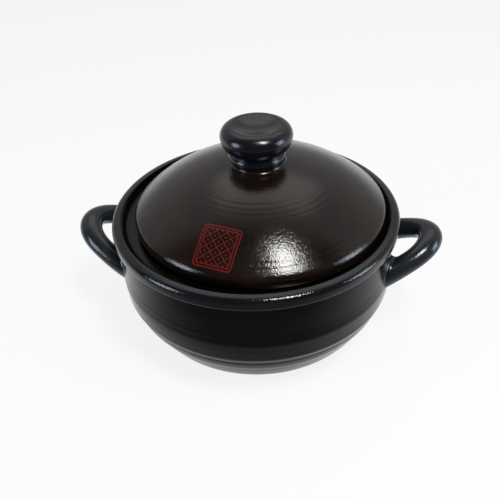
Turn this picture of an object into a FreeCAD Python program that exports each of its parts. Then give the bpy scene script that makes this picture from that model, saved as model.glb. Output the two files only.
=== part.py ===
import FreeCAD, Part
import math
import os

# A wheel-thrown earthenware casserole: a round pot with two pulled loop handles,
# and a domed lid with a turned knob that rests loosely on a ledge inside the rim.
# Lengths are millimetres and angles degrees. The frame stands at the middle of the
# foot ring's resting face, +Z points up, and the handles lie along the X axis.

# Pot, from the foot upwards
footHeight = 3.5          # foot ring, below the underside of the pot
footWidth = 8.0           # width of the foot ring
footSetOut = 3.7          # outer side of the foot ring, beyond the start of the base curve
footRound = 1.4           # worn edges and inner corners of the foot ring
wall = 9.0                # thickness of belly, base and floor
rimOverhang = 2.8         # the rim stands out over the widest turn of the belly by this
baseArc = 39.8            # curve from the underside into the taper
taperArc = 284.0          # the long, nearly straight taper
taperTurn = 3.5           # how far the taper turns over its length
shoulderArc = 56.2        # round belly above the taper
shoulderTurn = 27.0       # how far the belly turns before it stands upright
smoothRunPoints = 16      # points that carry the one smooth curve of the outer wall
potHeight = 113.1         # foot to the top of the rim

# Rim, with the ledge that carries the lid inside it
rimRadius = 115.3         # outermost turn of the rim
rimBand = 10.6            # height of the rolled rim above its crease
rimWidth = 7.7            # rim, from its outer side to the wall above the ledge
rimCrown = 4.2            # round of the outer top of the rim
rimFall = 0.4             # the outer side of the rim lies this much lower
rimInnerRound = 1.5       # round of the inner top edge
rimLowerRound = 2.4       # round under the rim
creaseDepth = 5.7         # crease under the rim, inward from its outer side
creaseRound = 2.1         # cove of the crease
ledgeDepth = 9.2          # top of the rim down to the ledge
ledgeWidth = 21.1         # ledge, from the wall above it to its inner edge
ledgeNose = 3.0           # round of the inner edge
ledgeUnderside = 24.1     # ledge down to the middle of the cove under it
ledgeCove = 12.0          # cove from the ledge into the inner wall

# Lid
lidClearance = 7.0        # loose fit of the lid, all round when it is centred
lidSideGap = 1.9          # what is left of it on the side that the lid has slid to
lidSlideAngle = 53.0      # direction in which the lid has slid, from +X towards +Y
lidWall = 7.5
lidLowerRound = 5.0       # lower half of the lid's thick edge
lidUpperRound = 13.5      # upper half, running into the dome
ledgeCornerRoom = 1.3     # the corner above the ledge is rounder than the lid's edge by this
domeRadius = 149.7
lidSeatWidth = 6.6        # flat ring under the lid's edge
lidSeatRound = 1.5
lidCove = 6.0             # hollow of the lid, beside its seat

# Knob, with its heights above the crown of the dome
collarRadius = 20.2
collarRound = 2.6
collarHeight = 1.3
tierRadius = 23.4
tierRound = 6.7
tierHeight = 10.1
headRadius = 27.5
headLowerRound = 13.3
headUpperRound = 8.3
headHeight = 20.1
crestRound = 4.0
crestInset = 9.9          # crest of the dished top, inward from the widest turn
dishRadius = 40.0
dishDepth = 3.5
knobCove = 1.0            # small coves between the turns of the knob

# Loop handles
handleStandOff = 28.5     # middle of the grip, beyond the widest turn of the belly
handleRootSink = 9.2      # where the loop springs from the wall, inward of that turn
leftHalfSpread = 28.6     # half the distance between the two arms of each hand-pulled loop
rightHalfSpread = 25.8
handleRootFlare = 0.19    # share by which the arms spread towards their roots
handleFullness = 0.88     # under 1 gives the loop a fuller bow than a half ellipse
handleBelowRim = 41.6     # top of the rim down to the roots
handleRise = 19.5         # roots up to the middle of the grip
handleSag = 1.2
armHalfWidth = 8.2
gripHalfWidth = 9.3       # in the bend of the loop, pressed flatter than the arms
gripSpan = 0.6            # share of the loop over which it narrows to the arms
gripHalfHeight = 8.0
rootWiden = 0.31          # shares by which the arms grow wider and taller towards their roots
rootHeighten = 0.75
rootGrowthPower = 4       # how suddenly they do so
handleRootDepth = 8.0     # the arms run on into the wall by this much
handleRootDrop = 2.5
handleRootSplay = 1.5
handleRootRound = 4.0     # clay worked into the corner round each root
handlePathPoints = 9
handleSections = 7

# Throwing rings
bellyRingDrops = (63.1, 66.8, 77.1)       # below the top of the rim, all the way round
partRingDrops = (41.7, 49.5)              # smoothed away beside the handles
partRingSpan = 118.0                      # degrees, in front and behind
bellyRingRound = 6.0                      # fingertip that left the ring
bellyRingDepth = 0.45
lidRingInsets = (48.0, 43.8, 39.8, 36.0, 9.0, 5.6)    # inward from the edge of the lid
lidRingRound = 2.4
lidRingDepth = 0.22
slopeStep = 0.5                           # spacing of the two points that give a slope

# Values that follow from the sizes above
bellyRadius = rimRadius - rimOverhang
handleReach = bellyRadius + handleStandOff
handleRootReach = bellyRadius - handleRootSink
handleRootHeight = potHeight - handleBelowRim
handleGripHeight = handleRootHeight + handleRise
ledgeHeight = potHeight - ledgeDepth
galleryRadius = rimRadius - rimWidth
galleryCove = lidLowerRound + ledgeCornerRoom
lidRadius = galleryRadius - lidClearance
lidSlide = lidClearance - lidSideGap
zeroLength = 1e-6
axisFoot = FreeCAD.Vector(0, 0, 0)
axisUp = FreeCAD.Vector(0, 0, 1)


def polar(length, angle):
    return FreeCAD.Vector(length * math.cos(angle), 0, length * math.sin(angle))


def peg(radius, height, bend=0.0):
    """A round of a turned outline: its centre, and its radius, negative where it is hollow."""
    return FreeCAD.Vector(radius, 0, height), bend


def heading(first, second):
    """Direction of the straight line that touches two rounds, one after the other."""
    step = second[0] - first[0]
    lean = (first[1] - second[1]) / step.Length
    return math.atan2(step.z, step.x) + math.asin(max(-1.0, min(1.0, lean)))


def touching(first, second, bend):
    """The round of a given bend that touches two others, on the right of the way between them."""
    step = second[0] - first[0]
    reachFirst = abs(first[1] - bend)
    reachSecond = abs(second[1] - bend)
    along = (step.Length ** 2 + reachFirst ** 2 - reachSecond ** 2) / (2 * step.Length)
    aside = math.sqrt(reachFirst ** 2 - along ** 2)
    forward = step / step.Length
    right = FreeCAD.Vector(forward.z, 0, -forward.x)
    return first[0] + forward * along + right * aside, bend


def smoothRun(edges):
    """One smooth curve along a run of edges, so that a handle springs from a wall without a seam."""
    curve = Part.BSplineCurve()
    curve.interpolate(Points=Part.Wire(edges).discretize(Number=smoothRunPoints),
                      InitialTangent=edges[0].tangentAt(edges[0].FirstParameter),
                      FinalTangent=edges[-1].tangentAt(edges[-1].LastParameter))
    return curve.toShape()


def turnedFace(pegs, smoothFrom=0, smoothTo=0):
    """The section whose outline runs round the pegs like a string, with the clay on its left."""
    headings = [heading(pegs[i], pegs[i + 1]) for i in range(len(pegs) - 1)]
    edges = []
    edgesBefore = [0]
    last = pegs[0][0]
    for i in range(1, len(pegs)):
        centre, bend = pegs[i]
        incoming = headings[i - 1]
        start = centre + polar(bend, incoming - math.pi / 2)
        if (start - last).Length < zeroLength:
            start = last
        else:
            edges.append(Part.LineSegment(last, start).toShape())
        edgesBefore.append(len(edges))
        last = start
        if bend and i < len(headings):
            turn = math.remainder(headings[i] - incoming, 2 * math.pi)
            if turn * bend < 0:
                turn += math.copysign(2 * math.pi, bend)
            middle = centre + polar(bend, incoming + turn / 2 - math.pi / 2)
            end = centre + polar(bend, incoming + turn - math.pi / 2)
            edges.append(Part.Arc(start, middle, end).toShape())
            last = end
    edges.append(Part.LineSegment(last, pegs[0][0]).toShape())
    if smoothTo:
        run = slice(edgesBefore[smoothFrom], edgesBefore[smoothTo])
        edges[run] = [smoothRun(edges[run])]
    return Part.Face(Part.Wire(edges))


def turned(face):
    return face.revolve(axisFoot, axisUp, 360)


def bellyCentres():
    """Centres of the base, taper and shoulder curves, each touching the next."""
    lowAngle = math.radians(shoulderTurn + taperTurn)
    highAngle = math.radians(shoulderTurn)
    shoulderRadius = bellyRadius - shoulderArc
    taperRadius = shoulderRadius + (shoulderArc - taperArc) * math.cos(highAngle)
    baseRadius = taperRadius + (taperArc - baseArc) * math.cos(lowAngle)
    baseHeight = footHeight + baseArc
    taperHeight = baseHeight + (taperArc - baseArc) * math.sin(lowAngle)
    shoulderHeight = taperHeight + (shoulderArc - taperArc) * math.sin(highAngle)
    return (baseRadius, baseHeight), (taperRadius, taperHeight), (shoulderRadius, shoulderHeight)


def footPegs(baseRadius, baseHeight):
    outer = baseRadius + footSetOut
    inner = outer - footWidth
    coveReach = baseArc + footRound
    coveHeight = baseHeight - math.sqrt(coveReach ** 2 - (footSetOut + footRound) ** 2)
    return [
        peg(0, footHeight),
        peg(inner - footRound, footHeight - footRound, -footRound),
        peg(inner + footRound, footRound, footRound),
        peg(outer - footRound, footRound, footRound),
        peg(outer + footRound, coveHeight, -footRound),
    ]


def rimPegs():
    """Crease, rolled rim, the wall above the ledge, and the ledge with its rounded nose."""
    rimUnderside = potHeight - rimBand
    creaseCentre = rimRadius - creaseDepth + creaseRound
    noseCentre = galleryRadius - ledgeWidth + ledgeNose
    return [
        peg(creaseCentre, rimUnderside - creaseRound, -creaseRound),
        peg(rimRadius - rimLowerRound, rimUnderside + rimLowerRound, rimLowerRound),
        peg(rimRadius - rimCrown, potHeight - rimFall - rimCrown, rimCrown),
        peg(galleryRadius + rimInnerRound, potHeight - rimInnerRound, rimInnerRound),
        peg(galleryRadius - galleryCove, ledgeHeight + galleryCove, -galleryCove),
        peg(noseCentre, ledgeHeight - ledgeNose, ledgeNose),
        peg(bellyRadius - wall - ledgeCove, ledgeHeight - ledgeUnderside, -ledgeCove),
    ]


def potSection():
    base, taper, shoulder = bellyCentres()
    pegs = footPegs(*base) + [peg(*base, baseArc)]
    wallStart = len(pegs)
    pegs += [peg(*taper, taperArc), peg(*shoulder, shoulderArc)]
    wallEnd = len(pegs)
    pegs += rimPegs()
    pegs += [peg(*shoulder, wall - shoulderArc), peg(*taper, wall - taperArc)]
    pegs += [peg(*base, wall - baseArc), peg(0, footHeight + wall)]
    return turnedFace(pegs, wallStart, wallEnd)


def potCavity():
    """The clay-free space inside the pot, which also trims the handle roots."""
    base, taper, shoulder = bellyCentres()
    pegs = [peg(0, footHeight + wall), peg(*base, baseArc - wall), peg(*taper, taperArc - wall)]
    pegs += [peg(*shoulder, shoulderArc - wall), peg(bellyRadius - wall, potHeight)]
    pegs += [peg(0, potHeight)]
    return turned(turnedFace(pegs))


def outerRadius(section, height):
    ray = Part.LineSegment(FreeCAD.Vector(0, 0, height), FreeCAD.Vector(2 * rimRadius, 0, height))
    return section.common(ray.toShape()).BoundBox.XMax


def fingertipPlace(section, height):
    """Centre of the fingertip that presses a throwing ring into the belly at a height."""
    radius = outerRadius(section, height)
    slope = (outerRadius(section, height + slopeStep) - radius) / slopeStep
    out = FreeCAD.Vector(1, 0, -slope).normalize()
    return FreeCAD.Vector(radius, 0, height) + out * (bellyRingRound - bellyRingDepth)


def bellyRing(section, height):
    place = fingertipPlace(section, height)
    return Part.makeTorus(place.x, bellyRingRound, axisUp * place.z, axisUp)


def partRing(section, height, middle):
    """A throwing ring that ends where the fingertip left the clay, on both sides of its middle."""
    place = fingertipPlace(section, height)
    track = Part.makeTorus(place.x, bellyRingRound, axisUp * place.z, axisUp, -180, 180, partRingSpan)
    begin = Part.makeSphere(bellyRingRound, place)
    end = begin.copy()
    end.rotate(axisFoot, axisUp, partRingSpan)
    pieces = [track, begin, end]
    for piece in pieces:
        piece.rotate(axisFoot, axisUp, middle - partRingSpan / 2)
    return pieces


def handlePoint(side, halfSpread, angle):
    """A point of the loop's middle line: a half ellipse seen from above, rising outwards."""
    share = math.cos(angle) ** handleFullness
    reach = handleRootReach + (handleReach - handleRootReach) * share
    spread = halfSpread * math.sin(angle) * (1 + handleRootFlare * (1 - share) ** 2)
    rise = handleRootHeight + (handleGripHeight - handleRootHeight) * share
    sag = handleSag * 4 * share * (1 - share)
    return FreeCAD.Vector(side * reach, spread, rise - sag)


def gripSection(point, along, share):
    """The oval of the loop: wide in the bend, growing into the roots at both ends."""
    across = along.cross(axisUp).normalize()
    upward = across.cross(along).normalize()
    fromBend = abs(2 * share - 1)
    growth = fromBend ** rootGrowthPower
    pressed = max(0.0, 1 - (fromBend / gripSpan) ** 2) ** 2
    halfWidth = armHalfWidth * (1 + rootWiden * growth)
    halfWidth += (gripHalfWidth - armHalfWidth) * pressed
    wide = across * halfWidth
    high = upward * gripHalfHeight * (1 + rootHeighten * growth)
    stretched = FreeCAD.Matrix(wide.x, high.x, along.x, point.x, wide.y, high.y, along.y, point.y,
                               wide.z, high.z, along.z, point.z, 0, 0, 0, 1)
    return Part.Wire([Part.Circle().toShape().transformGeometry(stretched)])


def handle(side, halfSpread, cavity):
    """One pulled loop: an oval section carried along its middle line, thicker at the roots."""
    steps = handlePathPoints - 1
    points = []
    for i in range(handlePathPoints):
        angle = math.pi * (i / steps - 0.5)
        points.append(handlePoint(side, halfSpread, angle))
    inwards = FreeCAD.Vector(-side * handleRootDepth, 0, -handleRootDrop)
    splay = FreeCAD.Vector(0, handleRootSplay, 0)
    points = [points[0] + inwards - splay] + points + [points[-1] + inwards + splay]
    middle = Part.BSplineCurve()
    middle.interpolate(Points=points)
    sweep = Part.BRepOffsetAPI.MakePipeShell(Part.Wire([middle.toShape()]))
    sweep.setFrenetMode(False)
    for i in range(handleSections):
        share = i / (handleSections - 1)
        place = middle.FirstParameter + (middle.LastParameter - middle.FirstParameter) * share
        along = FreeCAD.Vector(middle.tangent(place)[0])
        sweep.add(gripSection(middle.value(place), along, share), False, False)
    sweep.build()
    sweep.makeSolid()
    return sweep.shape().cut(cavity)


def rootEdges(shape):
    """The closed curves in which the loops meet the belly."""
    edges = []
    for edge in shape.Edges:
        sides = shape.ancestorsOfType(edge, Part.Face)
        swept = [face for face in sides if isinstance(face.Surface, Part.BSplineSurface)]
        if len(sides) == 2 and len(swept) == 1:
            edges.append(edge)
    return edges


def pot():
    section = potSection()
    body = turned(section)
    for drop in bellyRingDrops:
        body = body.cut(bellyRing(section, potHeight - drop))
    for drop in partRingDrops:
        for middle in (-90, 90):
            for piece in partRing(section, potHeight - drop, middle):
                body = body.cut(piece)
    cavity = potCavity()
    loops = [handle(-1, leftHalfSpread, cavity), handle(1, rightHalfSpread, cavity)]
    shape = body.fuse(loops)
    return shape.makeFillet(handleRootRound, rootEdges(shape))


def domeCentre():
    """Height of the dome's centre, at which the dome runs smoothly into the lid's edge."""
    edgeCentre = lidRadius - lidUpperRound
    edgeHeight = ledgeHeight + lidLowerRound
    return edgeHeight - math.sqrt((domeRadius - lidUpperRound) ** 2 - edgeCentre ** 2)


def knobPegs(dome):
    crown = dome[0].z + domeRadius
    collar = peg(collarRadius - collarRound, crown + collarHeight, collarRound)
    tier = peg(tierRadius - tierRound, crown + tierHeight, tierRound)
    head = peg(headRadius - headLowerRound, crown + headHeight, headLowerRound)
    headTop = crown + headHeight + headUpperRound
    dishFloor = headTop - dishDepth
    return [
        touching(dome, collar, -knobCove), collar,
        touching(collar, tier, -knobCove), tier,
        touching(tier, head, -knobCove), head,
        peg(headRadius - headUpperRound, crown + headHeight, headUpperRound),
        peg(headRadius - crestInset, headTop - crestRound, crestRound),
        peg(0, dishFloor + dishRadius, -dishRadius),
        peg(0, dishFloor),
    ]


def lidSection():
    middle = domeCentre()
    hollow = domeRadius - lidWall
    seatOuter = lidRadius - lidLowerRound
    seatInner = seatOuter - lidSeatWidth
    coveCentre = seatInner - lidCove
    coveHeight = middle + math.sqrt((hollow - lidCove) ** 2 - coveCentre ** 2)
    dome = peg(0, middle, domeRadius)
    pegs = [
        peg(0, middle + hollow),
        peg(0, middle, -hollow),
        peg(coveCentre, coveHeight, -lidCove),
        peg(seatInner + lidSeatRound, ledgeHeight + lidSeatRound, lidSeatRound),
        peg(seatOuter, ledgeHeight + lidLowerRound, lidLowerRound),
        peg(lidRadius - lidUpperRound, ledgeHeight + lidLowerRound, lidUpperRound),
        dome,
    ]
    return turnedFace(pegs + knobPegs(dome))


def lidRing(inset):
    """The solid ring that presses one fine turning line into the dome."""
    radius = lidRadius - inset
    angle = math.acos(radius / domeRadius)
    centre = polar(domeRadius + lidRingRound - lidRingDepth, angle)
    return Part.makeTorus(centre.x, lidRingRound, FreeCAD.Vector(0, 0, domeCentre() + centre.z), axisUp)


def lid():
    shape = turned(lidSection())
    for inset in lidRingInsets:
        shape = shape.cut(lidRing(inset))
    slideAngle = math.radians(lidSlideAngle)
    shape.translate(FreeCAD.Vector(lidSlide * math.cos(slideAngle), lidSlide * math.sin(slideAngle), 0))
    return shape


os.makedirs("parts", exist_ok=True)
for name, make in (("pot", pot), ("lid", lid)):
    solid = make()
    solid.exportStep("parts/" + name + ".step")
    print(name, solid.ShapeType, "solids", len(solid.Solids), "valid", solid.isValid(),
          "volume cm3", round(solid.Volume / 1000, 1))
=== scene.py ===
import math

import bpy
import numpy as np
from mathutils import Matrix, Vector


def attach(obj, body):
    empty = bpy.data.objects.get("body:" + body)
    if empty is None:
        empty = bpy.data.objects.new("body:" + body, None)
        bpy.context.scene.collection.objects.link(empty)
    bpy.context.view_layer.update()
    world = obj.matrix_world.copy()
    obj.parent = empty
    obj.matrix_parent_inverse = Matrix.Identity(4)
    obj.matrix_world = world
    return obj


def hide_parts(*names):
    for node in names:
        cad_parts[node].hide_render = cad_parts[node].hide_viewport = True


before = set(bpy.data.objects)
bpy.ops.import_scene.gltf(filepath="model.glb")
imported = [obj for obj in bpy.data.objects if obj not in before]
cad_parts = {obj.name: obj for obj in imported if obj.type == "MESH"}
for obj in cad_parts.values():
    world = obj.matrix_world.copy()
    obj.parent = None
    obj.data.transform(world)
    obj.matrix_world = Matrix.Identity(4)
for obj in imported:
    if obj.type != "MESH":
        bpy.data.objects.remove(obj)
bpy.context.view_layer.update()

# An earthenware casserole with its lid on: wheel-thrown pot, pulled loop handles, turned knob.
# Shapes are written in millimetres in the frame of the CAD model and turned to metres as meshes.

mm = 0.001
longestTurn = math.radians(9)   # of one step of an outline round a peg
shortestStep = 0.05             # points of an outline that lie closer are left out


def outline(pegs, spacing):
    # A string runs round the pegs: straight between two of them, along an arc round each.
    # Returns points of radius and height, no further apart than the spacing.
    centres = np.array(pegs)[:, :2]
    bends = np.array(pegs)[:, 2]
    steps = np.diff(centres, axis=0)
    lean = np.clip((bends[:-1] - bends[1:]) / np.hypot(*steps.T), -1, 1)
    headings = np.arctan2(steps[:, 1], steps[:, 0]) + np.arcsin(lean)
    points = [centres[:1]]
    for centre, bend, come, leave in zip(centres[1:-1], bends[1:-1], headings[:-1], headings[1:]):
        turn = math.remainder(leave - come, 2 * math.pi)
        if turn * bend < 0:
            turn += math.copysign(2 * math.pi, bend)
        count = int(max(abs(turn) / longestTurn, abs(turn * bend) / spacing, 1)) + 1
        angles = come + turn * np.linspace(0, 1, count + 1) - math.pi / 2
        points.append(centre + bend * np.stack([np.cos(angles), np.sin(angles)], axis=1))
    points.append(centres[-1:])
    filled = []
    for first, second in zip(points[:-1], points[1:]):
        gap = np.linalg.norm(second[0] - first[-1])
        count = int(gap / spacing) + 1
        shares = np.linspace(0, 1, count + 1)[1:-1, None]
        filled += [first, first[-1] + shares * (second[0] - first[-1])]
    chain = np.concatenate(filled + [points[-1]])
    apart = np.linalg.norm(np.diff(chain, axis=0), axis=1)
    return chain[np.concatenate([[True], apart > shortestStep])]


def outwardNormals(chain):
    # Right-hand normal of a chain of points, with the clay on its left.
    along = np.gradient(chain, axis=0)
    along /= np.linalg.norm(along, axis=1)[:, None]
    return np.stack([along[:, 1], -along[:, 0]], axis=1)


def ringFaces(rings, around, firstPole, lastPole):
    # Quads between neighbouring rings of points, and a fan of triangles at each pole.
    a = np.arange(rings - 1)[:, None] * around + np.arange(around)
    b = np.arange(rings - 1)[:, None] * around + (np.arange(around) + 1) % around
    quads = np.stack([a, b, b + around, a + around], axis=-1).reshape(-1, 4)
    ring = np.arange(around)
    nextOne = (ring + 1) % around
    start = np.stack([np.full(around, firstPole), nextOne, ring], axis=1)
    last = (rings - 1) * around
    end = np.stack([np.full(around, lastPole), last + ring, last + nextOne], axis=1)
    return quads.tolist() + start.tolist() + end.tolist()


def turnedPoints(chain, shift, around, centre):
    # Each point of the outline goes round the axis, moved along its normal by shift(angle, point):
    # x = centre + radius * cos(angle), y = centre + radius * sin(angle).
    angles = np.linspace(0, 2 * np.pi, around, endpoint=False)
    inner = chain[1:-1]
    normals = outwardNormals(chain)[1:-1]
    moved = inner[:, None] + normals[:, None] * shift(angles[None, :], inner)[..., None]
    radius, height = moved[..., 0], moved[..., 1]
    x = centre[0] + radius * np.cos(angles)
    y = centre[1] + radius * np.sin(angles)
    rings = np.stack([x, y, height], axis=-1).reshape(-1, 3)
    poles = [(*centre, chain[0][1]), (*centre, chain[-1][1])]
    return np.concatenate([rings, poles]), ringFaces(len(inner), around, len(rings), len(rings) + 1)


def addMesh(name, points, faces, node, material):
    # Points in millimetres become a smooth mesh at the origin, which stands for a CAD node.
    mesh = bpy.data.meshes.new(name)
    mesh.from_pydata((np.asarray(points) * mm).tolist(), [], faces)
    mesh.polygons.foreach_set("use_smooth", np.ones(len(mesh.polygons), bool))
    mesh.update()
    piece = bpy.data.objects.new(name, mesh)
    bpy.context.scene.collection.objects.link(piece)
    mesh.materials.append(material)
    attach(piece, "root")
    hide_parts(node)
    print(name, "faces", len(mesh.polygons))
    return piece


def toLinear(code):
    # sRGB hex to the linear values that shaders take
    values = np.array([int(code[i:i + 2], 16) / 255 for i in (1, 3, 5)])
    linear = np.where(values <= 0.04045, values / 12.92, ((values + 0.055) / 1.055) ** 2.4)
    return (*linear.tolist(), 1.0)


def emptyTree(owner):
    # The node tree of a material or a world, with nothing in it yet.
    owner.use_nodes = True
    owner.node_tree.nodes.clear()
    return owner.node_tree


def addNode(tree, kind, values=None, links=None, **settings):
    # Adds a node, sets its properties and socket values, and links sockets to what feeds them.
    node = tree.nodes.new(kind)
    for name, value in settings.items():
        setattr(node, name, value)
    for socket, value in (values or {}).items():
        node.inputs[socket].default_value = value
    for socket, source in (links or {}).items():
        tree.links.new(source, node.inputs[socket])
    return node


skin = {
    # what every part of the glaze shares, sizes in metres
    "cloudSize": 0.035,         # patches of thicker and thinner glaze
    "thinRange": (0.38, 0.66),  # of the cloud noise, from thick to thin
    "glossRange": (0.3, 0.7),   # of the cloud noise, from glossier to duller
    "dimpleSize": 0.0009,       # real dimples are about 0.5 mm, too fine for the render
    "rippleSize": 0.014,        # slow waves left by the dipping
    "rippleDepth": 0.00005,
    "glassIndex": 1.5,
    "sheenRoughness": 0.3,
    "bareClay": "#6d4c39",
    "bareRoughness": 0.85,
    "wipedEdge": 0.0003,        # height over which bare clay turns to glaze
}
glazes = {
    # thick and thin: colours where the glaze is thick, and where it lets the brown clay through
    # roughness: from glossier to duller; depths and heights in metres; bare clay below bareBelow
    "belly": {"thick": "#050403", "thin": "#0a0705", "specular": 0.26, "sheen": 0.1,
              "roughness": (0.14, 0.19), "dimpleDepth": 0.00006, "bareBelow": 0.0004},
    # the rim's bluish black is a painted reflection of the dim bluish room
    "rim": {"thick": "#0b0c0f", "thin": "#101216", "specular": 0.45, "sheen": 0.0,
            "roughness": (0.08, 0.12), "dimpleDepth": 0.0001, "bareBelow": 0.0004},
    # the belly's colour turns to the loop's over rootReach, measured from the pot's axis;
    # the loop's lighter, bluer colours are a painted reflection of the dim bluish room
    "handles": {"thick": "#1e2329", "thin": "#24282c", "specular": 0.4, "sheen": 0.0,
                "roughness": (0.12, 0.17), "dimpleDepth": 0.00006, "bareBelow": 0.0004,
                "rootReach": (0.104, 0.124)},
    "lid": {"thick": "#100a07", "thin": "#1c110c", "specular": 0.5, "sheen": 0.0,
            "roughness": (0.14, 0.17), "dimpleDepth": 0.0001, "bareBelow": 0.1042},
    # the dome's glaze turns to the knob's between these heights, with shallower dimples;
    # the knob's bluish black is a painted reflection of the dim bluish room
    "knob": {"thick": "#08090f", "thin": "#0d0f16", "heights": (0.1535, 0.1575),
             "dimpleShare": 0.35, "rougher": 0.06},
}
panel = {
    # a painted ornament on the dome, in millimetres
    "centre": (-17.41, -77.41, 128.09),
    "turn": -15.4,                        # degrees, seen from outside
    "halfSize": (14.9, 16.1),
    "corner": 3.0,
    "lines": ((0.55, 0.52), (2.6, 0.4)),  # depth inside the edge and half width of each frame line
    "trellis": 2.9,                       # half the spacing of the trellis bars
    "bar": 0.34,
    "dot": 0.7,
    "red": "#651916",
    "waver": 0.5,                         # how far the brush strays
    "strayScale": 0.35,                   # of the noise that leads the brush, in a millimetre
    "wornScale": 1.1,
    "wornRange": (0.3, 0.45),             # of the noise, from worn to full paint
    "wornCover": 0.45,                    # what is left of the paint where it is worn
    "nearFace": 4.0,                      # the paint lies this close to the plane of the panel
}


def panelMask(tree, place):
    # A painted panel: an upright frame of two lines round a trellis with a dot in each lozenge.
    # The dome's tangent plane gives its two directions, so it only lies on the outer side.
    out = Vector(panel["centre"]) - Vector((*lid["centre"], lid["pegs"][lid["domePeg"]][1]))
    tilt = Vector((0, 0, 1)).rotation_difference(out).to_matrix()
    frameTurn = (tilt @ Matrix.Rotation(math.radians(panel["turn"]), 3, "Z")).to_euler()
    flat = addNode(tree, "ShaderNodeMapping",
                   {"Location": Vector(panel["centre"]) * mm, "Rotation": frameTurn, "Scale": (mm, mm, mm)},
                   {"Vector": place}, vector_type="TEXTURE")
    stray = addNode(tree, "ShaderNodeTexNoise", {"Scale": panel["strayScale"], "Detail": 2.0},
                    {"Vector": flat.outputs[0]})
    strayed = addNode(tree, "ShaderNodeVectorMath", {1: (0.5, 0.5, 0.5)}, {0: stray.outputs["Color"]},
                      operation="SUBTRACT")
    moved = addNode(tree, "ShaderNodeVectorMath", {1: (panel["waver"],) * 3},
                    {0: strayed.outputs[0], 2: flat.outputs[0]}, operation="MULTIPLY_ADD")
    level = addNode(tree, "ShaderNodeVectorMath", {1: (1, 1, 0)}, {0: moved.outputs[0]},
                    operation="MULTIPLY")

    # depth inside the rounded edge: corner - length(max(|place| - (half size - corner), 0))
    folded = addNode(tree, "ShaderNodeVectorMath", links={0: level.outputs[0]}, operation="ABSOLUTE")
    corner = [half - panel["corner"] for half in panel["halfSize"]] + [0]
    beyond = addNode(tree, "ShaderNodeVectorMath", {1: corner}, {0: folded.outputs[0]},
                     operation="SUBTRACT")
    kept = addNode(tree, "ShaderNodeVectorMath", {1: (0, 0, 0)}, {0: beyond.outputs[0]},
                   operation="MAXIMUM")
    reach = addNode(tree, "ShaderNodeVectorMath", links={0: kept.outputs[0]}, operation="LENGTH")
    depth = addNode(tree, "ShaderNodeMath", {0: panel["corner"]}, {1: reach.outputs["Value"]},
                    operation="SUBTRACT")

    # trellis: both directions at 45 degrees wrap into cells, with a dot where the cells meet
    turned = addNode(tree, "ShaderNodeMapping", {"Rotation": (0, 0, math.pi / 4)},
                     {"Vector": level.outputs[0]})
    half = panel["trellis"]
    cell = addNode(tree, "ShaderNodeVectorMath", {1: (half,) * 3, 2: (-half,) * 3},
                   {0: turned.outputs[0]}, operation="WRAP")
    cellFold = addNode(tree, "ShaderNodeVectorMath", links={0: cell.outputs[0]}, operation="ABSOLUTE")
    sides = addNode(tree, "ShaderNodeSeparateXYZ", links={0: cellFold.outputs[0]})
    nearer = addNode(tree, "ShaderNodeMath", links={0: sides.outputs[0], 1: sides.outputs[1]},
                     operation="MINIMUM")
    bars = addNode(tree, "ShaderNodeMath", {1: panel["bar"]}, {0: nearer.outputs[0]},
                   operation="LESS_THAN")
    toDot = addNode(tree, "ShaderNodeVectorMath", {1: (half, half, 0)}, {0: cellFold.outputs[0]},
                    operation="DISTANCE")
    dots = addNode(tree, "ShaderNodeMath", {1: panel["dot"]}, {0: toDot.outputs["Value"]},
                   operation="LESS_THAN")
    either = addNode(tree, "ShaderNodeMath", links={0: bars.outputs[0], 1: dots.outputs[0]},
                     operation="MAXIMUM")
    innerLine = panel["lines"][1][0]
    within = addNode(tree, "ShaderNodeMath", {1: innerLine}, {0: depth.outputs[0]},
                     operation="GREATER_THAN")
    mask = addNode(tree, "ShaderNodeMath", links={0: either.outputs[0], 1: within.outputs[0]},
                   operation="MULTIPLY")
    for inset, halfWidth in panel["lines"]:
        line = addNode(tree, "ShaderNodeMath", {1: inset, 2: halfWidth}, {0: depth.outputs[0]},
                       operation="COMPARE")
        mask = addNode(tree, "ShaderNodeMath", links={0: mask.outputs[0], 1: line.outputs[0]},
                       operation="MAXIMUM")

    rise = addNode(tree, "ShaderNodeSeparateXYZ", links={0: flat.outputs[0]})
    near = addNode(tree, "ShaderNodeMath", {1: 0.0, 2: panel["nearFace"]}, {0: rise.outputs[2]},
                   operation="COMPARE")
    worn = addNode(tree, "ShaderNodeTexNoise", {"Scale": panel["wornScale"], "Detail": 3.0},
                   {"Vector": flat.outputs[0]})
    cover = addNode(tree, "ShaderNodeMapRange",
                    {"From Min": panel["wornRange"][0], "From Max": panel["wornRange"][1],
                     "To Min": panel["wornCover"], "To Max": 1.0}, {"Value": worn.outputs["Fac"]})
    placed = addNode(tree, "ShaderNodeMath", links={0: mask.outputs[0], 1: near.outputs[0]},
                     operation="MULTIPLY")
    return addNode(tree, "ShaderNodeMath", links={0: placed.outputs[0], 1: cover.outputs[0]},
                   operation="MULTIPLY").outputs[0]


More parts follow.
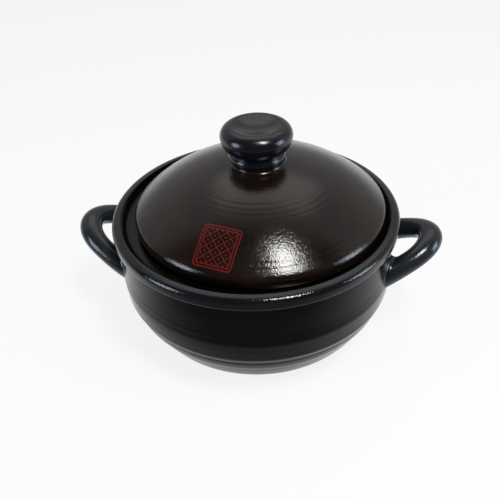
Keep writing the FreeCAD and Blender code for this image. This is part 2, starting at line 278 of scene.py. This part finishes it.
def ironGlaze(name, part):
    # Iron glaze on earthenware, dipped and fired: a nearly black, satin skin over brown clay.
    # It dries with dimples like orange peel, so a lamp breaks up in it into fine grains of light.
    finish = glazes[part]
    material = bpy.data.materials.new(name)
    tree = emptyTree(material)
    place = addNode(tree, "ShaderNodeTexCoord").outputs["Object"]
    height = addNode(tree, "ShaderNodeSeparateXYZ", links={"Vector": place}).outputs["Z"]
    cloud = addNode(tree, "ShaderNodeTexNoise",
                    {"Scale": 1 / skin["cloudSize"], "Detail": 4.0, "Roughness": 0.6}, {"Vector": place})
    dimple = addNode(tree, "ShaderNodeTexNoise", {"Scale": 1 / skin["dimpleSize"], "Detail": 0.0},
                     {"Vector": place})
    ripple = addNode(tree, "ShaderNodeTexNoise", {"Scale": 1 / skin["rippleSize"], "Detail": 1.0},
                     {"Vector": place})
    thin = addNode(tree, "ShaderNodeMapRange",
                   {"From Min": skin["thinRange"][0], "From Max": skin["thinRange"][1]},
                   {"Value": cloud.outputs["Fac"]}).outputs["Result"]
    satin = addNode(tree, "ShaderNodeMapRange",
                    {"From Min": skin["glossRange"][0], "From Max": skin["glossRange"][1],
                     "To Min": finish["roughness"][0], "To Max": finish["roughness"][1]},
                    {"Value": cloud.outputs["Fac"]}).outputs["Result"]
    waves = addNode(tree, "ShaderNodeBump", {"Strength": 1.0, "Distance": skin["rippleDepth"]},
                    {"Height": ripple.outputs["Fac"]})
    peel = addNode(tree, "ShaderNodeBump", {"Strength": 1.0, "Distance": finish["dimpleDepth"]},
                   {"Height": dimple.outputs["Fac"], "Normal": waves.outputs["Normal"]})
    colour = addNode(tree, "ShaderNodeMix",
                     {"A": toLinear(finish["thick"]), "B": toLinear(finish["thin"])},
                     {"Factor": thin}, data_type="RGBA")

    if part == "handles":
        # the loops are painted lighter and bluer than the belly they spring from, a painted reflection of
        # the dim bluish room
        flat = addNode(tree, "ShaderNodeVectorMath", {1: (1, 1, 0)}, {0: place}, operation="MULTIPLY")
        away = addNode(tree, "ShaderNodeVectorMath", links={0: flat.outputs[0]}, operation="LENGTH")
        onLoop = addNode(tree, "ShaderNodeMapRange",
                         {"From Min": finish["rootReach"][0], "From Max": finish["rootReach"][1]},
                         {"Value": away.outputs["Value"]})
        colour = addNode(tree, "ShaderNodeMix", {"A": toLinear(glazes["belly"]["thick"])},
                         {"Factor": onLoop.outputs["Result"], "B": colour.outputs["Result"]},
                         data_type="RGBA")

    if part == "lid":
        # on the knob the colour turns nearly blue, a painted reflection of the dim bluish room,
        # and the glaze is smoother and a little duller; the ornament is painted over the dome's
        knob = glazes["knob"]
        bluishKnobReflection = addNode(tree, "ShaderNodeMix",
                         {"A": toLinear(knob["thick"]), "B": toLinear(knob["thin"])},
                         {"Factor": thin}, data_type="RGBA")
        onKnob = addNode(tree, "ShaderNodeMapRange",
                         {"From Min": knob["heights"][0], "From Max": knob["heights"][1]},
                         {"Value": height}).outputs["Result"]
        colour = addNode(tree, "ShaderNodeMix", None,
                         {"Factor": onKnob, "A": colour.outputs["Result"], "B": bluishKnobReflection.outputs["Result"]},
                         data_type="RGBA")
        colour = addNode(tree, "ShaderNodeMix", {"B": toLinear(panel["red"])},
                         {"Factor": panelMask(tree, place), "A": colour.outputs["Result"]},
                         data_type="RGBA")
        satin = addNode(tree, "ShaderNodeMath", {1: knob["rougher"]}, {0: onKnob, 2: satin},
                        operation="MULTIPLY_ADD").outputs[0]
        shallow = addNode(tree, "ShaderNodeMapRange", {"To Min": 1.0, "To Max": knob["dimpleShare"]},
                          {"Value": onKnob})
        tree.links.new(shallow.outputs["Result"], peel.inputs["Strength"])

    bare = addNode(tree, "ShaderNodeMapRange",
                   {"From Min": finish["bareBelow"], "From Max": finish["bareBelow"] + skin["wipedEdge"],
                    "To Min": 1.0, "To Max": 0.0}, {"Value": height}).outputs["Result"]
    colour = addNode(tree, "ShaderNodeMix", {"B": toLinear(skin["bareClay"])},
                     {"Factor": bare, "A": colour.outputs["Result"]}, data_type="RGBA")
    rough = addNode(tree, "ShaderNodeMix", {"B": skin["bareRoughness"]}, {"Factor": bare, "A": satin},
                    data_type="FLOAT")
    surface = addNode(tree, "ShaderNodeBsdfPrincipled",
                      {"IOR": skin["glassIndex"], "Specular IOR Level": finish["specular"],
                       "Sheen Weight": finish["sheen"], "Sheen Roughness": skin["sheenRoughness"]},
                      {"Base Color": colour.outputs["Result"], "Roughness": rough.outputs["Result"],
                       "Normal": peel.outputs["Normal"]})
    addNode(tree, "ShaderNodeOutputMaterial", links={"Surface": surface.outputs["BSDF"]})
    print(name, "nodes", len(tree.nodes))
    return material


pot = {
    # radius, height and bend of each round that the outline runs round, negative where hollow:
    # base, foot ring and belly
    "pegs": (
        (0.00, 3.50, 0.00), (58.04, 2.10, -1.40), (60.84, 1.40, 1.40), (66.04, 1.40, 1.40),
        (68.84, 2.42, -1.40), (63.74, 43.30, 39.80), (-146.67, 167.24, 284.00), (56.30, 63.82, 56.20),
        # rolled rim, ledge for the lid
        (111.70, 100.40, -2.10), (112.90, 104.90, 2.40), (111.10, 108.50, 4.20), (109.10, 111.60, 1.50),
        (101.30, 110.20, -6.30), (89.50, 100.90, 3.00),
        # inside of the bowl
        (91.50, 79.80, -12.00), (56.30, 63.82, -47.20), (-146.67, 167.24, -275.00),
        (63.74, 43.30, -30.80), (0.00, 12.50, 0.00)),
    "creasePeg": 8,         # the crease under the rim
    "spacing": 1.35,        # longest step along the outline
    "around": 240,          # steps round the pot
    # throwing ridges of the belly: height, half width, how far they stand out, fade at the handles
    "ridges": ((67.0, 3.4, 0.42, 1.0), (72.9, 1.5, 0.16, 1.0), (51.4, 2.6, 0.40, 0.25),
               (46.4, 1.7, -0.34, 0.25), (37.6, 3.2, 0.32, 0.25), (29.0, 4.0, 0.12, 0.25),
               (13.0, 7.5, 0.75, 0.0)),
    "waver": 0.5,           # how much the ridges rise and fall round the pot
    "wavePhase": 1.7,
    "fadeAngle": 34.0,      # degrees to each side of a handle in which ridges are smoothed away
    "lean": (0.9, 50.0),    # of the lower belly to the right, and the height at which it ends
    "footFade": (3.0, 8.0),     # ridges and lean start at this height and are full this far above it
    "ridgesBelow": 96.0,
    "rimInside": 8,         # rings from the top of the rim over to its inner side
}
potChain = outline(pot["pegs"], pot["spacing"])
isOutside = np.arange(len(potChain)) < np.argmax(potChain[:, 1])
outerChain = potChain[isOutside]


def bellyShift(angles, points):
    # Sum over the ridges of rise * exp(-((height - middle) / half width) ** 2), each wavering round
    # the pot and fading beside the handles, and the lean of the lower belly, lean * cos(angle).
    heights = points[:, 1:]
    fromHandle = np.degrees(np.arcsin(np.abs(np.sin(angles))))
    fade = np.clip(fromHandle / pot["fadeAngle"], 0, 1) ** 2
    lean, leanBelow = pot["lean"]
    total = lean * np.cos(angles) * np.clip(1 - heights / leanBelow, 0, 1)
    for i, (height, half, rise, hidden) in enumerate(pot["ridges"]):
        waver = 1 + pot["waver"] * np.sin(angles * 2 + pot["wavePhase"] * i) * np.sin(angles + i)
        keep = 1 - hidden * (1 - fade)
        total = total + rise * np.exp(-((heights - height) / half) ** 2) * waver * keep
    fadeStart, fadeOver = pot["footFade"]
    footKept = np.clip((heights - fadeStart) / fadeOver, 0, 1)
    onBelly = isOutside[1:-1, None] & (heights < pot["ridgesBelow"])
    return total * footKept * onBelly


def throwPot():
    # Belly and bowl have the plain glaze. From the crease under the rim over to its inner side
    # the glaze is glossier, and its bluish black is a painted reflection of the dim bluish room.
    points, faces = turnedPoints(potChain, bellyShift, pot["around"], (0.0, 0.0))
    piece = addMesh("thrownPot", points, faces, "pot", ironGlaze("ironGlazeOnBelly", "belly"))
    piece.data.materials.append(ironGlaze("ironGlazeOnRim", "rim"))
    rings = len(potChain) - 2
    heights = points[:rings * pot["around"], 2].reshape(rings, pot["around"])[:, 0]
    crease = np.argmax(heights > pot["pegs"][pot["creasePeg"]][1])
    inside = np.argmax(heights) + pot["rimInside"]
    onRim = np.zeros(len(faces), int)
    onRim[crease * pot["around"]:inside * pot["around"]] = 1
    piece.data.polygons.foreach_set("material_index", onRim)


lid = {
    # hollow of the lid, its seat and its thick edge
    "pegs": (
        (0.00, 146.39, 0.00), (0.00, 4.19, -142.20), (83.00, 112.18, -6.00), (90.50, 105.40, 1.50),
        (95.90, 109.20, 5.00), (94.10, 111.47, 7.00),
        # dome
        (0.00, 4.19, 149.70),
        # knob: cove at its foot, collar, crease, wide head, dished top
        (23.06, 153.93, -1.80), (17.50, 157.50, 4.80), (21.72, 161.48, -1.00), (14.20, 173.99, 13.60),
        (19.60, 173.99, 8.30), (18.70, 178.19, 4.00), (0.00, 218.79, -40.00), (0.00, 178.79, 0.00)),
    "domePeg": 6,
    "spacing": 0.9,
    "around": 256,
    "centre": (3.60, 4.07),  # the loose lid has slid this far from the axis of the pot
    # turning lines: radius, half width, depth, middle and half width of the arc in degrees
    "lines": ((52.2, 1.1, 0.10, -96.0, 50.0), (56.6, 1.1, 0.07, -80.0, 62.0),
              (60.6, 1.2, 0.07, -50.0, 82.0), (64.6, 1.0, 0.06, -22.0, 72.0),
              (91.8, 0.9, 0.12, -50.0, 75.0), (95.0, 0.9, 0.09, -36.0, 70.0)),
    "lineFade": 40.0,       # degrees at each end of an arc over which a line fades
    "knobShift": -1.0,      # the knob was thrown this far off the middle of the dome, to the left
    "knobFoot": 152.5,      # height at which the knob starts
    "knobBlend": 4.0,       # height over which the dome gives way to the shifted knob
    "knobReach": 30.0,      # radius within which all is knob
}


def lidShift(angles, points):
    # Fine turning lines cut into the dome: -depth * exp(-((radius - line) / half width) ** 2),
    # each along an arc that fades at its ends.
    total = 0
    degrees = np.degrees(angles)
    for radius, half, depth, middle, reach in lid["lines"]:
        away = np.abs((degrees - middle + 180) % 360 - 180)
        keep = np.clip((reach - away) / lid["lineFade"], 0, 1)
        total = total - depth * keep * np.exp(-((points[:, :1] - radius) / half) ** 2)
    _, domeMiddle, domeRadius = lid["pegs"][lid["domePeg"]]
    onDome = np.hypot(points[:, :1], points[:, 1:] - domeMiddle) > domeRadius - 1
    return total * onDome


def turnLid():
    # Hollow, seat, dome and knob are one outline. The knob stands a little off the dome's middle.
    chain = outline(lid["pegs"], lid["spacing"])
    points, faces = turnedPoints(chain, lidShift, lid["around"], lid["centre"])
    fromAxis = np.hypot(points[:, 0] - lid["centre"][0], points[:, 1] - lid["centre"][1])
    onKnob = np.clip((points[:, 2] - lid["knobFoot"]) / lid["knobBlend"], 0, 1)
    points[:, 0] += lid["knobShift"] * onKnob * (fromAxis < lid["knobReach"])
    addMesh("domedLid", points, faces, "lid", ironGlaze("ironGlazeOnLid", "lid"))


throwPot()
turnLid()

handles = {
    "reach": 140.98,        # axis of the pot to the middle of the grip
    "rootReach": 103.3,
    "halfSpread": {-1: 28.6, 1: 25.8},      # left and right loop
    "rootFlare": 0.19,
    "shift": {-1: 0.5, 1: 0.0},             # the left loop sits a little to the back
    "tipLean": {-1: 0.0, 1: -1.4},          # the tip of the right loop leans to the front
    "backSwell": 0.07,      # a loop is thinner at its front and thicker at its back by this share
    "fullness": 0.88,
    "rootHeight": 71.5,
    "gripHeight": 91.0,
    "sag": 1.2,
    "halfWidth": 8.2,
    "bendWidth": 9.3,       # half width in the bend of the loop, where the thumb flattened it
    "bendShare": 0.6,       # of the loop's length is bend
    "bendPower": 2.0,
    "halfHeight": 8.0,
    "rootWidth": 0.31,      # the arms thicken towards their roots by these shares
    "rootTall": 0.75,
    "swellPower": 4,
    "rootDepth": 8.0,       # the middle line runs on into the wall, downwards and apart
    "rootDrop": 2.5,
    "rootSplay": 1.5,
    "rootRound": 4.0,       # clay worked into the corner round each root
    "pathPoints": 9,
    "finePoints": 400,
    "along": 120,
    "around": 64,
    "roundSteps": 10,
    "tuck": 0.25,           # the last ring lies this deep in the belly, so that no gap shows
}


def smoothPath(knots, count):
    # Natural cubic spline through the knots, by chord length; returns evenly shared points.
    spans = np.linalg.norm(np.diff(knots, axis=0), axis=1)
    stations = np.concatenate([[0], np.cumsum(spans)])
    size = len(knots)
    system = np.eye(size)
    inner = np.arange(1, size - 1)
    system[inner, inner - 1] = spans[:-1]
    system[inner, inner] = 2 * (spans[:-1] + spans[1:])
    system[inner, inner + 1] = spans[1:]
    slopes = np.diff(knots, axis=0) / spans[:, None]
    right = np.zeros_like(knots)
    right[1:-1] = 6 * np.diff(slopes, axis=0)
    bending = np.linalg.solve(system, right)
    place = np.linspace(0, stations[-1], count)
    i = np.clip(np.searchsorted(stations, place, side="right") - 1, 0, size - 2)
    h = spans[i][:, None]
    a = (stations[i + 1] - place)[:, None] / h
    b = 1 - a
    curve = ((a ** 3 - a) * bending[i] + (b ** 3 - b) * bending[i + 1]) * h ** 2 / 6
    return a * knots[i] + b * knots[i + 1] + curve


def unit(vectors):
    return vectors / np.linalg.norm(vectors, axis=-1, keepdims=True)


def loopPath(side):
    # Middle line of a loop: half an ellipse from above, rising outwards with a little sag.
    turn = np.linspace(-np.pi / 2, np.pi / 2, handles["pathPoints"])
    share = np.abs(np.cos(turn)) ** handles["fullness"]
    share[[0, -1]] = 0
    reach = handles["rootReach"] + (handles["reach"] - handles["rootReach"]) * share
    spread = handles["halfSpread"][side] * np.sin(turn) * (1 + handles["rootFlare"] * (1 - share) ** 2)
    spread += handles["shift"][side] + handles["tipLean"][side] * share
    rise = handles["rootHeight"] + (handles["gripHeight"] - handles["rootHeight"]) * share
    sag = handles["sag"] * 4 * share * (1 - share)
    knots = np.stack([side * reach, spread, rise - sag], axis=1)
    inwards = np.array([-side * handles["rootDepth"], 0, -handles["rootDrop"]])
    splay = np.array([0, handles["rootSplay"], 0])
    knots = np.concatenate([[knots[0] + inwards - splay], knots, [knots[-1] + inwards + splay]])
    return smoothPath(knots, handles["finePoints"])


def loopTube(side):
    # An oval carried along the loop's middle line: wide * cos(turn) across, high * sin(turn) up.
    middle = loopPath(side)
    along = unit(np.gradient(middle, axis=0))
    across = unit(np.cross(along, (0.0, 0.0, 1.0)))
    upward = unit(np.cross(across, along))
    fromBend = 2 * np.linspace(0, 1, len(middle)) - 1
    towardsRoot = np.abs(fromBend) ** handles["swellPower"]
    bend = np.clip(1 - (np.abs(fromBend) / handles["bendShare"]) ** 2, 0, 1) ** handles["bendPower"]
    halfWidth = handles["halfWidth"] * (1 + handles["rootWidth"] * towardsRoot)
    halfWidth += (handles["bendWidth"] - handles["halfWidth"]) * bend
    halfHeight = handles["halfHeight"] * (1 + handles["rootTall"] * towardsRoot)
    halfHeight *= 1 + handles["backSwell"] * fromBend
    turn = np.linspace(0, -2 * np.pi, handles["around"], endpoint=False)
    wide = halfWidth[:, None, None] * np.cos(turn)[None, :, None] * across[:, None]
    high = halfHeight[:, None, None] * np.sin(turn)[None, :, None] * upward[:, None]
    tube = middle[:, None] + wide + high
    alongTube = np.gradient(tube, axis=0)
    roundTube = np.roll(tube, -1, axis=1) - np.roll(tube, 1, axis=1)
    normals = unit(np.cross(roundTube, alongTube))
    outward = np.sum(normals * (tube - middle[:, None]), axis=-1).mean() > 0
    return tube, normals if outward else -normals


def nearestOnBelly(points):
    # Distance and outward direction from the belly's outline to each point beside it.
    radius = np.hypot(points[..., 0], points[..., 1])
    flat = np.stack([radius, points[..., 2]], axis=-1)
    first, second = outerChain[:-1], outerChain[1:]
    steps = second - first
    lengths = np.sum(steps ** 2, axis=1)
    share = np.sum((flat[..., None, :] - first) * steps, axis=-1) / lengths
    foot = first + np.clip(share, 0, 1)[..., None] * steps
    away = flat[..., None, :] - foot
    apart = np.linalg.norm(away, axis=-1)
    best = np.argmin(apart, axis=-1)
    distance = np.take_along_axis(apart, best[..., None], axis=-1)[..., 0]
    chosen = np.take_along_axis(away, best[..., None, None], axis=-2)[..., 0, :]
    step = steps[best]
    side = np.sign(chosen[..., 0] * step[..., 1] - chosen[..., 1] * step[..., 0])
    direction = chosen / np.maximum(distance, 1e-9)[..., None] * side[..., None]
    spin = points[..., :2] / radius[..., None]
    normal = np.stack([direction[..., 0] * spin[..., 0], direction[..., 0] * spin[..., 1],
                       direction[..., 1]], axis=-1)
    return distance * side, normal


def rootCove(tube, normals):
    # Rolls a ball along the corner between tube and belly: its centre lies one radius from both.
    # Returns where it touches each line of the tube, and the cove's rings from belly to tube.
    radius = handles["rootRound"]
    half = len(tube) // 2
    centres = tube[:half] + radius * normals[:half]
    distance, _ = nearestOnBelly(centres)
    inside = distance < radius
    last = half - 1 - np.argmax(inside[::-1], axis=0)
    column = np.arange(tube.shape[1])
    low, high = distance[last, column], distance[last + 1, column]
    share = ((radius - low) / (high - low))[:, None]
    ball = centres[last, column] * (1 - share) + centres[last + 1, column] * share
    fromTube = unit(normals[last, column] * (1 - share) + normals[last + 1, column] * share)
    _, fromBelly = nearestOnBelly(ball)
    between = np.arccos(np.clip(np.sum(fromTube * fromBelly, axis=1), -1, 1))[:, None]
    rings = []
    for k in np.linspace(0, 1, handles["roundSteps"]):
        blend = (np.sin((1 - k) * between) * fromBelly + np.sin(k * between) * fromTube) / np.sin(between)
        rings.append(ball - radius * blend)
    tucked = rings[0] - handles["tuck"] * fromBelly
    return last + share[:, 0], np.array([tucked] + rings)


def loopHandle(name, side, material):
    # Rings from one root to the other: cove, tube between where the coves touch it, cove.
    tube, normals = loopTube(side)
    start, startRings = rootCove(tube, normals)
    end, endRings = rootCove(tube[::-1], normals[::-1])
    end = len(tube) - 1 - end
    shares = np.linspace(0, 1, handles["along"])[1:-1, None]
    place = start + shares * (end - start)
    low = np.floor(place).astype(int)
    share = (place - low)[..., None]
    around = tube.shape[1]
    column = np.arange(around)
    rows = tube[low, column] * (1 - share) + tube[low + 1, column] * share
    rings = np.concatenate([startRings, rows, endRings[::-1]])
    poles = [startRings[0].mean(axis=0), endRings[0].mean(axis=0)]
    points = np.concatenate([rings.reshape(-1, 3), poles])
    count = len(rings)
    faces = ringFaces(count, around, count * around, count * around + 1)
    addMesh(name, points, faces, "pot", material)


handleGlaze = ironGlaze("ironGlazeOnHandles", "handles")
loopHandle("rightHandle", 1, handleGlaze)
loopHandle("leftHandle", -1, handleGlaze)

studio = {
    # lengths in metres
    "floorHalf": 6,
    "paint": (0.86, 0.86, 0.86, 1),
    "whiteShare": 0.85,     # how much of the floor is plain white to the eye, the rest takes shadows
    "sheetFront": (-0.23, 0.0),   # in the glaze the floor dims over this stretch towards the camera
    "sheetDim": 0.01,
    "fill": 0.2,            # light from all around
    "back": 0.456,          # the white wall behind, as it shows in the glaze
    "front": 0.056,         # and the dim room on the side of the camera
    "horizon": (-0.05, 0.15),     # between these directions the wall gives way to the room
}
lamps = {
    # place and aim in metres, size in metres, power in watts
    "softbox": {"place": (0.43, -0.53, 1.38), "aim": (0.02, -0.07, 0.12), "size": (0.29, 0.48),
                "power": 15.0, "colour": (1.0, 0.99, 0.97)},
    "ceiling": {"place": (0.0, 0.75, 1.35), "aim": (0.0, 0.0, 0.1), "size": (1.4, 0.8),
                "power": 2.8, "colour": (1.0, 0.96, 0.92)},
    "leftWindow": {"place": (-1.0, -0.58, 0.4), "aim": (0.0, 0.0, 0.1), "size": (0.4, 0.6),
                   "power": 5.6, "colour": (0.72, 0.84, 1.0)},
    "rightWindow": {"place": (1.15, -0.12, 0.4), "aim": (0.0, 0.0, 0.1), "size": (0.4, 0.6),
                    "power": 5.6, "colour": (0.72, 0.84, 1.0)},
}
view = {
    # place in millimetres, directions of the picture's right and up
    "place": (56.778, -413.951, 384.628),
    "right": (0.991944, 0.120949, -0.037659),
    "up": (-0.043361, 0.603519, 0.796169),
    "lens": 44.229,
}


def seenRays(tree):
    # The node of ray kinds, and 1 for what the eye sees straight or in a reflection, else 0.
    rays = addNode(tree, "ShaderNodeLightPath")
    shine = addNode(tree, "ShaderNodeMath", links={0: rays.outputs["Is Glossy Ray"],
                    1: rays.outputs["Is Transmission Ray"]}, operation="MAXIMUM")
    seen = addNode(tree, "ShaderNodeMath", links={0: rays.outputs["Is Camera Ray"], 1: shine.outputs[0]},
                   operation="MAXIMUM")
    return rays, seen


def addFloor():
    # White to the eye, with the shadow of the pot; in the glaze it dims towards the camera.
    half = studio["floorHalf"]
    corners = [(-half, -half, 0), (half, -half, 0), (half, half, 0), (-half, half, 0)]
    mesh = bpy.data.meshes.new("floor")
    mesh.from_pydata(corners, [], [(0, 1, 2, 3)])
    floor = bpy.data.objects.new("floor", mesh)
    bpy.context.scene.collection.objects.link(floor)
    # matt white table: it takes a faint, soft shadow and has no gloss
    material = bpy.data.materials.new("whiteTable")
    tree = emptyTree(material)
    rays, seen = seenRays(tree)
    paint = addNode(tree, "ShaderNodeBsdfDiffuse", {"Color": studio["paint"]})
    spot = addNode(tree, "ShaderNodeTexCoord")
    sides = addNode(tree, "ShaderNodeSeparateXYZ", links={"Vector": spot.outputs["Object"]})
    sheet = addNode(tree, "ShaderNodeMapRange",
                    {"From Min": studio["sheetFront"][0], "From Max": studio["sheetFront"][1],
                     "To Min": studio["sheetDim"]}, {"Value": sides.outputs["Y"]},
                    interpolation_type="SMOOTHSTEP")
    bright = addNode(tree, "ShaderNodeMath", links={0: sheet.outputs[0], 1: rays.outputs["Is Camera Ray"]},
                     operation="MAXIMUM")
    white = addNode(tree, "ShaderNodeEmission", None, {"Strength": bright.outputs[0]})
    share = addNode(tree, "ShaderNodeMath", {1: studio["whiteShare"]}, {0: seen.outputs[0]},
                    operation="MULTIPLY")
    both = addNode(tree, "ShaderNodeMixShader", None,
                   {0: share.outputs[0], 1: paint.outputs[0], 2: white.outputs[0]})
    addNode(tree, "ShaderNodeOutputMaterial", links={"Surface": both.outputs[0]})
    mesh.materials.append(material)


def addWorld():
    # White to the eye; in the glaze it dims from the wall behind to the camera's side.
    world = bpy.data.worlds.new("studio")
    bpy.context.scene.world = world
    tree = emptyTree(world)
    rays, seen = seenRays(tree)
    way = addNode(tree, "ShaderNodeTexCoord")
    sides = addNode(tree, "ShaderNodeSeparateXYZ", links={0: way.outputs["Generated"]})
    wall = addNode(tree, "ShaderNodeMapRange",
                   {"From Min": studio["horizon"][0], "From Max": studio["horizon"][1],
                    "To Min": studio["front"], "To Max": studio["back"]}, {"Value": sides.outputs["Y"]},
                   interpolation_type="SMOOTHSTEP")
    bright = addNode(tree, "ShaderNodeMath", links={0: wall.outputs[0], 1: rays.outputs["Is Camera Ray"]},
                     operation="MAXIMUM")
    fill = addNode(tree, "ShaderNodeBackground", {"Strength": studio["fill"]})
    white = addNode(tree, "ShaderNodeBackground", {"Color": (1, 1, 1, 1)}, {"Strength": bright.outputs[0]})
    both = addNode(tree, "ShaderNodeMixShader", None,
                   {0: seen.outputs[0], 1: fill.outputs[0], 2: white.outputs[0]})
    addNode(tree, "ShaderNodeOutputWorld", links={"Surface": both.outputs[0]})


def addLamp(name, lamp):
    data = bpy.data.lights.new(name, "AREA")
    data.shape = "RECTANGLE"
    data.size, data.size_y = lamp["size"]
    data.energy = lamp["power"]
    data.color = lamp["colour"]
    piece = bpy.data.objects.new(name, data)
    bpy.context.scene.collection.objects.link(piece)
    piece.location = lamp["place"]
    beam = Vector(lamp["aim"]) - Vector(lamp["place"])
    piece.rotation_euler = beam.to_track_quat("-Z", "Y").to_euler()


def addCamera():
    camera = bpy.data.objects.new("camera", bpy.data.cameras.new("camera"))
    bpy.context.scene.collection.objects.link(camera)
    right, up = Vector(view["right"]), Vector(view["up"])
    turn = Matrix((right, up, right.cross(up))).transposed()
    camera.matrix_world = Matrix.Translation(Vector(view["place"]) * mm) @ turn.to_4x4()
    camera.data.lens = view["lens"]
    bpy.context.scene.camera = camera


addFloor()
addWorld()
for name, lamp in lamps.items():
    addLamp(name, lamp)
print("studio", len(lamps), "lamps")
addCamera()
bpy.context.scene.view_settings.view_transform = "Standard"
